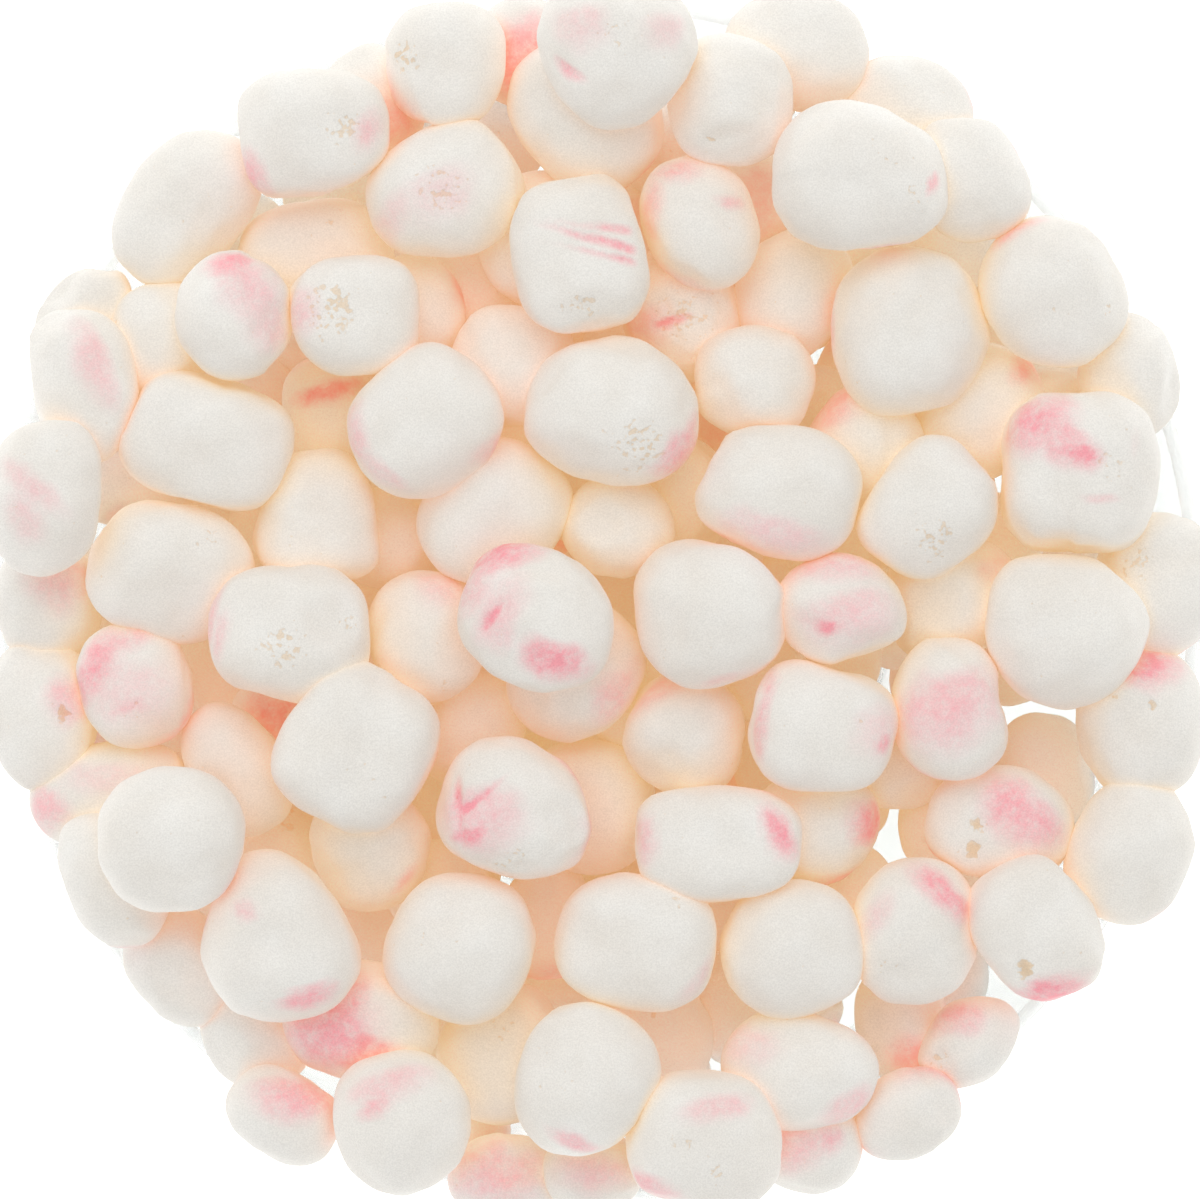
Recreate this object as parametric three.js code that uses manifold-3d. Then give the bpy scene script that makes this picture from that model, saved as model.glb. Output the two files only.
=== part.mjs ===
// A clear glass bowl heaped with freeze-dried taffy puffs. Millimetres, +Z up.
// The origin is the middle of the flat base that the bowl stands on.
import * as THREE from 'three';
import { mergeVertices } from 'three/addons/utils/BufferGeometryUtils.js';
import Module from 'manifold-3d';

const wasm = await Module();
wasm.setup();

// The bowl: a flat floor, a wall that curves up to almost upright, and a low foot.
const WALL = 3;               // thickness of the glass
const FLOOR_RADIUS = 50;      // flat part of the inside
const FLOOR_TOP = 7;          // height of the inside floor
const RIM_INSIDE = 124;       // inside radius at the rim
const RIM_HEIGHT = 64;        // where the inside wall ends and the round lip starts
const SWEEP = 78;             // degrees that the wall turns through, from floor to rim
const FOOT_RADIUS = 62;       // the base that it stands on
const FOOT_HEIGHT = 2.6;
const FOOT_EDGE = 1.2;        // bevel at the foot's lower edge
const WALL_STEPS = 7;
const LIP_STEPS = 4;
const ROUND_STEPS = 44;

// The heap: puffs that rest on each other and on the glass, over a filled core.
const GAP = 0.4;              // clearance between the sweets and the glass
const CROWN = 96;             // height of the top puffs' middles, at the centre
const FALL = 0.0013;          // how the heap falls off, per millimetre of radius squared
const LAYER_DEPTHS = [26, 14, 0];  // how far the low, middle and top puffs lie below that
const PLUMP = 0.94;           // a puff's height against its width
const PRESS = 0.9;            // how near two puffs lie, against the sum of their sizes
const PULL = 0.1;             // how strongly a puff is drawn to its layer, each round
const ROUNDS = 150;
const BOXY = 2.4;             // power of a puff's superellipsoid: 2 is round, more is boxier
const TOUCH_SAMPLES = 20;     // points along a puff's half-width that are tried on the glass
const CORE_BELOW = 12;        // the core's surface, below the top puffs' middles
const CORE_STEPS = 6;
const CORE_EDGE = 4;          // how far inside the rim the core's surface meets the wall
const TOP_FACETS = [8, 5];    // a puff's facets round it and from end to end
const MIDDLE_FACETS = [6, 4];

// The puffs that show from above, in three layers, each laid on the ones before it.
// The low ones hold the others up, and are themselves sunk in the core.
// A row is a puff's place x, y, its length and width, and its turn in degrees.
const LOW_PUFFS = [
  [-108, 60, 24, 19, 60], [-98, 26, 26, 22, 10], [-57, 39, 26, 20, 90], [-44, 13, 24, 22, 0],
  [-108, 2, 20, 18, 90], [-80, -16, 26, 22, 120], [-67, -24, 22, 20, 30], [-69, -53, 24, 22, 0],
  [-16, 115, 24, 22, 90], [33, 83, 26, 22, 100], [-27, 66, 28, 24, 120], [15, 96, 24, 22, 0],
  [73, 76, 25, 22, 150], [91, 46, 22, 20, 30], [84, 11, 24, 19, 100], [50, 13, 24, 22, 0],
  [93.5, -36, 26, 23, 90], [68, -47, 25, 23, 60], [54, -46, 23, 21, 90], [52, -60, 25, 22, 20],
  [71, -80, 22, 18, 0], [-87, -77, 27, 22, 135], [-11, -68, 26, 22, 90],
  [29, -86, 25, 22, 90], [-19, -121, 26, 18, 0], [8, -20, 24, 22, 60], [-2, -43, 29, 26, 90],
  [12, -92, 28, 23, 90], [43, -114, 24, 22, 170], [-1, -120, 22, 18, 0], [-27, -28, 27, 23, 60],
  [33, 109, 20, 17, 165], [100, 40, 25, 21, 0], [18.5, 22, 26, 20, 70], [-15, 33, 22, 20, 0],
  [34, -16, 22, 20, 0], [62, -35, 22, 19, 0], [-35, -60, 22, 20, 0],
];
const MIDDLE_PUFFS = [
  [-72, -92, 26, 20, 140],
  [-60, 71, 33, 26, 10], [-92, 54, 27, 24, 70], [-48, 104, 25, 22, 110], [-3, 101, 35, 28, 135],
  [-12, 76, 30, 27, 90], [-18.5, 49, 28, 26, 0], [17, 60, 29, 25, 100], [41, 64, 29, 24, 60],
  [41, 115, 31, 25, 170], [63.5, 102, 30, 24, 150], [77.5, 88, 28, 24, 110], [111, 47, 28, 22, 105],
  [80.5, 39, 29, 26, 60], [56, 31.5, 28, 25, 60], [-22, 18, 33, 30, 60], [4, 14.5, 23.5, 22, 0],
  [32.5, 46, 26, 24, 170], [-59.5, 18, 27, 25, 90], [-116, 0, 26, 22, 90], [-117, -24, 32, 23, 98],
  [-103, -41, 33, 23, 15], [-102, -58, 30, 22, 122], [-76.5, -35.5, 29, 20.5, 117],
  [-36.5, -8, 28, 26, 100], [-5, -14.5, 31, 28, 60], [18, -28.5, 26.5, 25.5, 0],
  [74, 1, 30, 26, 20], [117, 3, 32, 25, 88], [113.5, -25, 33, 27, 102], [45, -47, 27, 26, 0],
  [111, -53, 31, 26, 65], [64, -90, 27, 20, 110], [78, -93, 23, 18, 45], [65, -108, 24, 19, 25],
  [-48, -52, 29, 27, 100], [-50, -88.5, 33, 27, 170], [-66, -108, 24, 19, 150],
  [-20, -95.5, 31, 29, 90], [-39.5, 60, 24, 22, 90],
];
const TOP_PUFFS = [
  [-76, 59.3, 27.5, 25.5, 90], [-108.5, 45.5, 33, 23, 102], [-97, -17.5, 26, 23.5, 110],
  [-89.5, 6, 35.5, 30, 170], [27, 104, 28, 26, 80], [95, 64.5, 33, 30, 135],
  [83.5, -47.5, 30.5, 25, 165], [-60.5, 97.5, 32, 27.5, 5], [-87, 82.5, 37, 25, 50],
  [-32, 85.5, 33, 28, 20], [-32.5, 112, 26, 24.5, 90], [50.5, -2, 27, 24.5, 170],
  [-116.5, 21.5, 34, 25, 80], [41.5, -98.7, 32.5, 25, 170], [21.8, -113, 33, 29, 0],
  [-51, 60, 28.5, 26, 0], [21, 78.5, 28, 24, 110], [3.8, 114, 32, 31, 0],
  [-4.5, 72, 33, 27, 98], [68, 19, 31, 26, 50], [54.3, 87.6, 38, 31, 175],
  [64.8, 56, 36, 33.5, 75], [-82.5, 33, 35, 27.5, 160], [73.5, -23.3, 30, 24.5, 95],
  [46.5, -26.7, 31, 26, 172], [-37, 36.5, 33, 29, 40], [36.6, 22.6, 35.5, 28.5, 175],
  [2.5, 39, 36.5, 31.5, 0], [-13, -3.5, 34, 29.5, 150], [22.8, -3, 32, 31, 0],
  [-65, -6.8, 33.5, 28.5, 175], [-50.8, -31, 34, 32, 60], [96.7, -6, 34, 31, 165],
  [99.8, 26.3, 34.5, 32, 90], [-29.3, -73, 31.5, 30.5, 60], [-17.5, -44.5, 33, 27.5, 155],
  [7.7, -71.7, 34, 28.5, 175], [24.3, -51, 35.5, 23.5, 177], [-67.7, -70, 35.5, 32, 110],
  [-89.3, -50, 30.5, 30, 0], [66, -69.7, 31, 26.5, 80], [40, -73.3, 30.5, 29, 0],
  [92, -69.5, 32, 25, 118], [-2.6, -100.3, 32, 29.5, 70], [-41, -109, 29, 28, 100],
];

const radians = THREE.MathUtils.degToRad;
const wallReach = (RIM_INSIDE - FLOOR_RADIUS) / Math.sin(radians(SWEEP));
const wallRise = (RIM_HEIGHT - FLOOR_TOP) / (1 - Math.cos(radians(SWEEP)));

// A point of the wall's inside, a share of the way up, moved out through the glass.
function wallPoint(share, outward) {
  const angle = share * radians(SWEEP);
  const across = wallReach * Math.cos(angle);
  const up = wallRise * Math.sin(angle);
  const along = Math.hypot(across, up);
  const x = FLOOR_RADIUS + wallReach * Math.sin(angle) + outward * up / along;
  const y = FLOOR_TOP + wallRise * (1 - Math.cos(angle)) - outward * across / along;
  return new THREE.Vector2(x, y);
}

// The round lip, from the outside over the top to the inside.
function lipPoints(allowance) {
  const inside = wallPoint(1, -allowance);
  const outside = wallPoint(1, WALL + allowance);
  const middle = inside.clone().add(outside).multiplyScalar(0.5);
  const radius = WALL / 2 + allowance;
  const start = outside.clone().sub(middle).angle();
  const points = [];
  for (let step = 1; step < LIP_STEPS; step++) {
    const angle = start + Math.PI * step / LIP_STEPS;
    points.push(new THREE.Vector2(
      middle.x + radius * Math.cos(angle), middle.y + radius * Math.sin(angle)));
  }
  return points;
}

// The bowl's section, grown all round by an allowance so that it can clear the sweets.
function bowlProfile(allowance) {
  const points = [
    new THREE.Vector2(0, -allowance),
    new THREE.Vector2(FOOT_RADIUS - FOOT_EDGE, -allowance),
    new THREE.Vector2(FOOT_RADIUS + allowance, FOOT_EDGE),
    new THREE.Vector2(FOOT_RADIUS + allowance, FOOT_HEIGHT),
  ];
  for (let step = 0; step <= WALL_STEPS; step++) {
    const point = wallPoint(step / WALL_STEPS, WALL + allowance);
    if (point.x > FOOT_RADIUS + allowance) points.push(point);
  }
  points.push(...lipPoints(allowance));
  for (let step = WALL_STEPS; step >= 0; step--) {
    points.push(wallPoint(step / WALL_STEPS, -allowance));
  }
  points.push(new THREE.Vector2(0, FLOOR_TOP + allowance));
  return points;
}

function turned(points) {
  return new THREE.LatheGeometry(points, ROUND_STEPS).rotateX(Math.PI / 2);
}

function solidOf(geometry) {
  const bare = geometry.clone();
  bare.deleteAttribute('normal');
  bare.deleteAttribute('uv');
  const merged = mergeVertices(bare, 1e-4);
  return new wasm.Manifold(new wasm.Mesh({
    numProp: 3,
    vertProperties: new Float32Array(merged.attributes.position.array),
    triVerts: new Uint32Array(merged.index.array),
  }));
}

function geometryOf(solid) {
  const mesh = solid.getMesh();
  const geometry = new THREE.BufferGeometry();
  geometry.setAttribute('position', new THREE.BufferAttribute(mesh.vertProperties, 3));
  geometry.setIndex(new THREE.BufferAttribute(mesh.triVerts, 1));
  geometry.computeVertexNormals();
  return geometry;
}

// Height of the glass under a place at this radius; outside the rim there is none.
function glassHeight(radius) {
  if (radius <= FLOOR_RADIUS) return FLOOR_TOP;
  if (radius > RIM_INSIDE + WALL) return -Infinity;
  if (radius >= RIM_INSIDE) return RIM_HEIGHT + WALL / 2;
  const share = (radius - FLOOR_RADIUS) / wallReach;
  return FLOOR_TOP + wallRise * (1 - Math.sqrt(1 - share * share));
}

// Half of the puff's width seen from above, in the direction of dx, dy.
function halfWidth(puff, dx, dy) {
  const distance = Math.hypot(dx, dy) || 1;
  const turn = radians(puff.turn);
  const along = (dx * Math.cos(turn) + dy * Math.sin(turn)) / distance;
  const aside = (dy * Math.cos(turn) - dx * Math.sin(turn)) / distance;
  return puff.length * puff.width / 4 / Math.hypot(puff.width / 2 * along, puff.length / 2 * aside);
}

// The lowest that a puff's middle can lie before it meets the glass.
function restingHeight(puff) {
  const radius = Math.hypot(puff.x, puff.y);
  const reach = halfWidth(puff, puff.x, puff.y);
  let lowest = -Infinity;
  for (let sample = -TOUCH_SAMPLES; sample <= TOUCH_SAMPLES; sample++) {
    const share = sample / TOUCH_SAMPLES;
    const under = puff.rise * Math.sqrt(1 - share * share);
    lowest = Math.max(lowest, glassHeight(Math.abs(radius + share * reach)) + under);
  }
  return lowest;
}

function heapHeight(radius) {
  return CROWN - FALL * radius * radius;
}

// Puffs from the rows, each at the height of its layer or on the glass below it.
function puffsFrom(layers) {
  const puffs = [];
  layers.forEach((rows, layer) => rows.forEach(([x, y, length, width, turn]) => {
    const puff = { x, y, length, width, turn, layer, rise: PLUMP * width / 2 };
    puff.goal = heapHeight(Math.hypot(x, y)) - LAYER_DEPTHS[layer];
    puff.lowest = restingHeight(puff);
    puff.z = Math.max(puff.goal, puff.lowest);
    puffs.push(puff);
  }));
  return puffs;
}

// Pairs that lie over one another, with the height that has to be between their middles.
function crossings(puffs) {
  const pairs = [];
  puffs.forEach((upper, index) => puffs.slice(0, index).forEach((lower) => {
    const dx = upper.x - lower.x;
    const dy = upper.y - lower.y;
    const room = PRESS * (halfWidth(lower, dx, dy) + halfWidth(upper, dx, dy));
    const share = Math.hypot(dx, dy) / room;
    if (share >= 1) return;
    const between = PRESS * (lower.rise + upper.rise) * Math.sqrt(1 - share * share);
    pairs.push({ lower, upper, between });
  }));
  return pairs;
}

// Puffs that lie too close are pushed apart upwards and downwards until the heap is at rest.
function settle(puffs) {
  const pairs = crossings(puffs);
  for (let round = 0; round < ROUNDS; round++) {
    for (const puff of puffs) {
      puff.z = Math.max(puff.lowest, puff.z + PULL * (puff.goal - puff.z));
    }
    for (const { lower, upper, between } of pairs) {
      const short = between - (upper.z - lower.z);
      if (short <= 0) continue;
      lower.z = Math.max(lower.lowest, lower.z - short / 2);
      upper.z += short / 2;
    }
  }
  return puffs;
}

// One puff: a superellipsoid, longer than wide, lying flat at its turn.
function puffGeometry(puff, [round, bands]) {
  const geometry = new THREE.SphereGeometry(1, round, bands).rotateX(Math.PI / 2);
  const places = geometry.attributes.position;
  const point = new THREE.Vector3();
  for (let index = 0; index < places.count; index++) {
    point.fromBufferAttribute(places, index);
    const powers = point.toArray().reduce((sum, part) => sum + Math.abs(part) ** BOXY, 0);
    point.multiplyScalar(powers ** (-1 / BOXY));
    places.setXYZ(index, point.x, point.y, point.z);
  }
  geometry.scale(puff.length / 2, puff.width / 2, puff.rise);
  geometry.rotateZ(radians(puff.turn));
  geometry.translate(puff.x, puff.y, puff.z);
  return geometry;
}

// The filled middle of the heap, up to a surface that the puffs are sunk in.
function coreProfile() {
  const edge = RIM_INSIDE - CORE_EDGE;
  const points = [new THREE.Vector2(0, FLOOR_TOP + GAP)];
  for (let step = 0; step <= WALL_STEPS; step++) {
    const point = wallPoint(step / WALL_STEPS, -GAP);
    if (point.x < edge) points.push(point);
  }
  for (let step = CORE_STEPS - 1; step >= 0; step--) {
    const radius = edge * step / CORE_STEPS;
    points.push(new THREE.Vector2(radius, heapHeight(radius) - CORE_BELOW));
  }
  return points;
}

function heapSolid() {
  const puffs = settle(puffsFrom([LOW_PUFFS, MIDDLE_PUFFS, TOP_PUFFS]));
  let heap = solidOf(turned(coreProfile()));
  for (const puff of puffs.filter(({ layer }) => layer > 0)) {
    heap = heap.add(solidOf(puffGeometry(puff, puff.layer === 1 ? MIDDLE_FACETS : TOP_FACETS)));
  }
  return heap.subtract(solidOf(turned(bowlProfile(GAP))));
}

const bowl = new THREE.Mesh(
  turned(bowlProfile(0)),
  new THREE.MeshStandardMaterial({
    color: 0xdfe8e6, roughness: 0.05, metalness: 0, transparent: true, opacity: 0.35,
  }),
);
bowl.name = 'bowl';

const heap = new THREE.Mesh(
  geometryOf(heapSolid()),
  new THREE.MeshStandardMaterial({ color: 0xf0e8e0, roughness: 0.85, metalness: 0 }),
);
heap.name = 'taffy_heap';

const group = new THREE.Group();
group.add(bowl, heap);

export default group;
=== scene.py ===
# A clear glass bowl heaped with freeze-dried taffy: chalky white puffs with pink streaks.
import math
import random
from collections import namedtuple

import bmesh
import bpy
from mathutils import Matrix, Vector, noise
from mathutils.bvhtree import BVHTree


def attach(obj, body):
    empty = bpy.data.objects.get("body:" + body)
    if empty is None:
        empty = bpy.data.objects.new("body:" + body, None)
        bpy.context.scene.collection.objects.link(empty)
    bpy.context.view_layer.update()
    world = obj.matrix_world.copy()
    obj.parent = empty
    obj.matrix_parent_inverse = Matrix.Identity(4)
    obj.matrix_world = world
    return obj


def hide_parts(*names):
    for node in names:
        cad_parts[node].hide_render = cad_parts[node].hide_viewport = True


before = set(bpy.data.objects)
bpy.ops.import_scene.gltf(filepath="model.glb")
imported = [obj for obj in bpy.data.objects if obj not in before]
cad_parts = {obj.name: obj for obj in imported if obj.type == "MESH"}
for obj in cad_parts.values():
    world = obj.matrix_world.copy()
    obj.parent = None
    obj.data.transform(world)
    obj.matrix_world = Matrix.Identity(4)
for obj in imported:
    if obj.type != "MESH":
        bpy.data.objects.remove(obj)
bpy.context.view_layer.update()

MM = 0.001                # metres in a millimetre; sizes below are in millimetres
MERGE = 0.001             # points nearer than this become one
SEED = 7

# ---------------------------------------------------------------- the bowl's sizes
WALL = 3.0                # thickness of the glass
FLOOR_RADIUS = 50.0       # flat part of the inside
FLOOR_TOP = 7.0           # height of the inside floor
RIM_INSIDE = 124.0        # inside radius at the rim
RIM_HEIGHT = 64.0         # where the inside wall ends and the round lip starts
SWEEP = math.radians(78)  # the wall turns through this, from floor to rim
FOOT_RADIUS = 62.0        # the base that it stands on
FOOT_HEIGHT = 2.6
FOOT_EDGE = 1.2           # rounding at the foot's lower edge
WALL_STEPS = 40           # how finely each stretch of the section is drawn, and the turn
LIP_STEPS = 12
EDGE_STEPS = 5
ROUND_STEPS = 160

# ---------------------------------------------------------------- the heap's sizes
CROWN = 96.0              # height of the top puffs' middles, at the centre
FALL = 0.0013             # how the heap falls off, per millimetre of radius squared
LAYER_DEPTHS = (26.0, 14.0, 0.0)  # how far the low, middle and top puffs lie below that
PLUMP = 0.94              # a puff's height against its width
PRESS = 0.9               # how near two puffs lie, against the sum of their sizes
PULL = 0.1                # how strongly a puff is drawn to its layer, each round
ROUNDS = 150
TOUCH_SAMPLES = 20        # points along a puff's half-width that are tried on the glass

# The puffs that show from above, in three layers: low, middle and top.
# A row is a puff's place x, y, its length and width, and its turn in degrees.
LOW_PUFFS = (
    (-108, 60, 24, 19, 60), (-98, 26, 26, 22, 10), (-57, 39, 26, 20, 90), (-44, 13, 24, 22, 0),
    (-108, 2, 20, 18, 90), (-80, -16, 26, 22, 120), (-67, -24, 22, 20, 30), (-69, -53, 24, 22, 0),
    (-16, 115, 24, 22, 90), (33, 83, 26, 22, 100), (-27, 66, 28, 24, 120), (15, 96, 24, 22, 0),
    (73, 76, 25, 22, 150), (91, 46, 22, 20, 30), (84, 11, 24, 19, 100), (50, 13, 24, 22, 0),
    (93.5, -37, 26, 22, 90), (72.5, -48, 19, 19, 0), (52, -43.5, 18, 15, 0), (51, -62.5, 24, 21, 20),
    (71, -80, 22, 18, 0), (-87, -77, 27, 22, 135), (-11, -68, 26, 22, 90),
    (29, -86, 25, 22, 90), (-19, -121, 26, 18, 0), (8, -20, 24, 22, 60), (-2, -43, 29, 26, 90),
    (12, -92, 28, 23, 90), (43, -114, 24, 22, 170), (-1, -120, 22, 18, 0), (-27, -28, 27, 23, 60),
    (33, 109, 20, 17, 165), (100, 40, 25, 21, 0), (18.5, 22, 26, 20, 70), (-15, 33, 22, 20, 0),
    (34, -16, 22, 20, 0), (62, -35, 22, 19, 0), (-35, -60, 22, 20, 0),
)
MIDDLE_PUFFS = (
    (-72, -92, 26, 20, 140),
    (-60, 71, 33, 26, 10), (-92, 54, 27, 24, 70), (-48, 104, 25, 22, 110), (-3, 101, 35, 28, 135),
    (-12, 76, 30, 27, 90), (-18.5, 49, 28, 26, 0), (17, 60, 29, 25, 100), (41, 64, 29, 24, 60),
    (41, 115, 31, 25, 170), (63.5, 102, 30, 24, 150), (77.5, 88, 28, 24, 110), (111, 47, 28, 22, 105),
    (80.5, 39, 29, 26, 60), (56, 31.5, 28, 25, 60), (-22, 18, 33, 30, 60), (4, 14.5, 23.5, 22, 0),
    (32.5, 46, 26, 24, 170), (-59.5, 18, 27, 25, 90), (-116, 0, 26, 22, 90),
    (-117, -24, 32, 23, 98), (-103, -41, 33, 23, 15), (-102, -58, 30, 22, 122),
    (-76.5, -35.5, 29, 20.5, 117), (-36.5, -8, 28, 26, 100), (-5, -14.5, 31, 28, 60),
    (18, -28.5, 26.5, 25.5, 0), (74, 1, 30, 26, 20), (117, 3, 32, 25, 88), (113.5, -25, 33, 27, 102),
    (45, -47, 27, 26, 0), (111, -53, 31, 26, 65), (64, -90, 27, 20, 110), (78, -93, 23, 18, 45),
    (65, -108, 24, 19, 25), (-48, -52, 29, 27, 100), (-50, -88.5, 33, 27, 170),
    (-66, -108, 24, 19, 150), (-20, -95.5, 31, 29, 90), (-39.5, 60, 24, 22, 90),
)
TOP_PUFFS = (
    (-76, 59.3, 27.5, 25.5, 90), (-108.5, 45.5, 33, 23, 102), (-97, -17.5, 26, 23.5, 110),
    (-89.5, 6, 35.5, 30, 170), (27, 104, 28, 26, 80), (95, 64.5, 33, 30, 135),
    (83.5, -47.5, 30.5, 25, 165), (-60.5, 97.5, 32, 27.5, 5), (-87, 82.5, 37, 25, 50),
    (-32, 85.5, 33, 28, 20), (-32.5, 112, 26, 24.5, 90), (50.5, -2, 27, 24.5, 170),
    (-116.5, 21.5, 34, 25, 80), (41.5, -98.7, 32.5, 25, 170), (21.8, -113, 33, 29, 0),
    (-51, 60, 28.5, 26, 0), (21, 78.5, 28, 24, 110), (3.8, 114, 32, 31, 0),
    (-4.5, 72, 33, 27, 98), (68, 19, 31, 26, 50), (54.3, 87.6, 38, 31, 175),
    (64.8, 56, 36, 33.5, 75), (-82.5, 33, 35, 27.5, 160), (73.5, -23.3, 30, 24.5, 95),
    (46.5, -26.7, 31, 26, 172), (-37, 36.5, 33, 29, 40), (36.6, 22.6, 35.5, 28.5, 175),
    (2.5, 39, 36.5, 31.5, 0), (-13, -3.5, 34, 29.5, 150), (22.8, -3, 32, 31, 0),
    (-65, -6.8, 33.5, 28.5, 175), (-50.8, -31, 34, 32, 60), (96.7, -6, 34, 31, 165),
    (99.8, 26.3, 34.5, 32, 90), (-29.3, -73, 31.5, 30.5, 60), (-17.5, -44.5, 33, 27.5, 155),
    (7.7, -71.7, 34, 28.5, 175), (24.3, -51, 35.5, 23.5, 177), (-67.7, -70, 35.5, 32, 110),
    (-89.3, -50, 30.5, 30, 0), (66, -69.7, 31, 26.5, 80), (40, -73.3, 30.5, 29, 0),
    (92, -69.5, 32, 25, 118), (-2.6, -100.3, 32, 29.5, 70), (-41, -109, 29, 28, 100),
)

# Pink marks that show from above: place x, y, length and width, turn in degrees, strength.
PINK_MARKS = (
    (-49, 98, 8, 5, 70, .6), (-43, 101, 12, 10, 0, .8), (-72, 89, 9, 6, -60, .8),
    (-34, 86, 14, 9, 30, .35), (-44, 80, 14, 6, 60, .35), (-76.5, 71, 10, 5, 20, 1.2),
    (-72, 66, 15, 10, -50, .65), (-68, 57, 11, 7, -60, .5), (-66, 50, 10, 4, 60, .4),
    (-63, 60, 9, 6, 90, .55), (-105, 50, 18, 6, -65, .6), (-56.5, 44.5, 15, 4, 15, 1.4),
    (-51, 34, 14, 4, 100, .55), (-46, 27, 14, 4, -40, .45), (-23, 32, 14, 5, 10, .7),
    (-21, 10, 16, 7, 25, 1.2), (-27, 2, 10, 7, 70, .6), (-118, 24, 14, 5, -40, .5),
    (-119, 17, 10, 6, -60, .45), (-103, 17, 9, 4, 50, .4), (-16, 115, 18, 16, 0, 1.2),
    (-7.5, 110.5, 8, 2.2, -35, 1.), (-4, 120, 11, 8, 0, .4), (13, 119, 9, 7, 0, .35),
    (16, 89.5, 9, 4, 15, .8), (10.5, 81, 14, 4, 80, .6), (28, 83, 8, 2.5, -10, .65),
    (3, 77.3, 22, 1.6, -6, .8), (3, 74.2, 22, 1.9, -14, 1.2), (3, 71.3, 20, 1.5, -12, .9),
    (70, 87, 5, 2.5, 60, .95), (34, 85, 12, 14, 0, .6), (85, 76.5, 13, 3.5, 25, .7),
    (14, 58, 8, 2, 20, 1.5), (8, 59, 12, 8, 0, .6), (91, 37, 13, 9, 35, 1.15),
    (97, 33, 12, 8, -25, .85), (100.5, 30.5, 7, 5, -20, 1.4), (111, 31, 7, 2, 80, .65),
    (104, 21, 7, 1.5, 0, .5), (36, 14, 20, 8, -10, .5), (16, 30, 14, 8, 60, .9),
    (48, 9, 24, 7, 0, .65), (84, 8, 11, 5, 40, .4), (49, 41, 11, 7, 30, .75),
    (89, 48, 6, 7, 90, .9), (-106, -14, 15, 7, 65, 1.1), (-100, -8, 13, 5, 25, .65),
    (-98, -18, 17, 13, 0, .4), (-99, -22, 12, 3, 20, .6), (-112.5, -21, 8, 9, 80, .6),
    (-81, -4, 12, 3, 70, .65), (-68, -23, 12, 9, 0, 1.3), (-24, -5, 14, 2, 50, 1.5),
    (-22, -3, 15, 8, 60, .6), (-9, -12, 13, 8, -15, 1.25), (-41.5, -59.5, 9, 3, 50, .75),
    (-25, -44, 15, 12, 0, .7), (-27, -42.5, 14, 1.9, 38, 1.5), (-29.5, -44, 14, 1.9, 95, 1.4),
    (-27, -48.5, 9, 4, 20, 1.3), (-74, -64, 4, 4, 0, .6), (-61, -82, 10, 4.5, 20, 1.2),
    (-57, -88, 18, 15, -20, 1.2), (-50, -94, 18, 8, -15, 1.2), (-52, -83, 11, 5, 70, 1.1),
    (-44, -100, 16, 5, 15, .6), (-47, -105, 7, 3.5, 40, .9), (-63, -103, 16, 8, 0, 1.),
    (-4, -113, 11, 3, -25, .85), (-22, -119, 18, 12, 0, .75), (-104, -36, 16, 6, 0, .35),
    (-116, -43, 8, 8, 0, .8), (52, -2, 18, 10, 10, .6), (47, -5.5, 5, 3.5, 0, 1.3),
    (25, -17, 9, 3, 20, .4), (34, -24, 18, 3, 80, .85), (59, -29.7, 3.5, 3.5, 0, .95),
    (58, -26, 9, 9, 0, .35), (72, -21, 21, 13, 15, .8), (114, -12.5, 13, 8, 0, 1.3),
    (89, -44, 17, 10, -40, 1.1), (37.5, -48, 10, 5, -60, 1.4), (9, -50, 9, 4, 90, .65),
    (57, -46, 8, 8, 0, 1.3), (72, -60.5, 14, 5.5, -45, 1.15), (57, -66, 9, 5, 60, .4),
    (51, -58.5, 11, 5, 0, .95), (93, -82, 14, 8, 20, 1.3), (74, -87, 11, 6, 0, .9),
    (66, -96, 9, 10, 40, 1.), (30, -92, 13, 8, 0, .4), (52, -106, 11, 6, 30, .6),
    (25, -105, 13, 5, 10, .65), (11, -121.5, 11, 4, -20, .85), (20, -79, 11, 3, 50, .35),
    (3, -20, 13, 8, 60, .6), (40, -113, 13, 9, 0, .75), (48, -112, 5, 6, 0, .9),
    (-1, -119, 14, 7, 0, .6), (-113, 5, 12, 10, 0, .6), (12, -19, 12, 5, 40, .5),
    (-79.5, -8, 10, 3, 75, .5), (-11, -80, 12, 8, 0, .6), (-33, 3, 9, 7, 0, .5),
)
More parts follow.
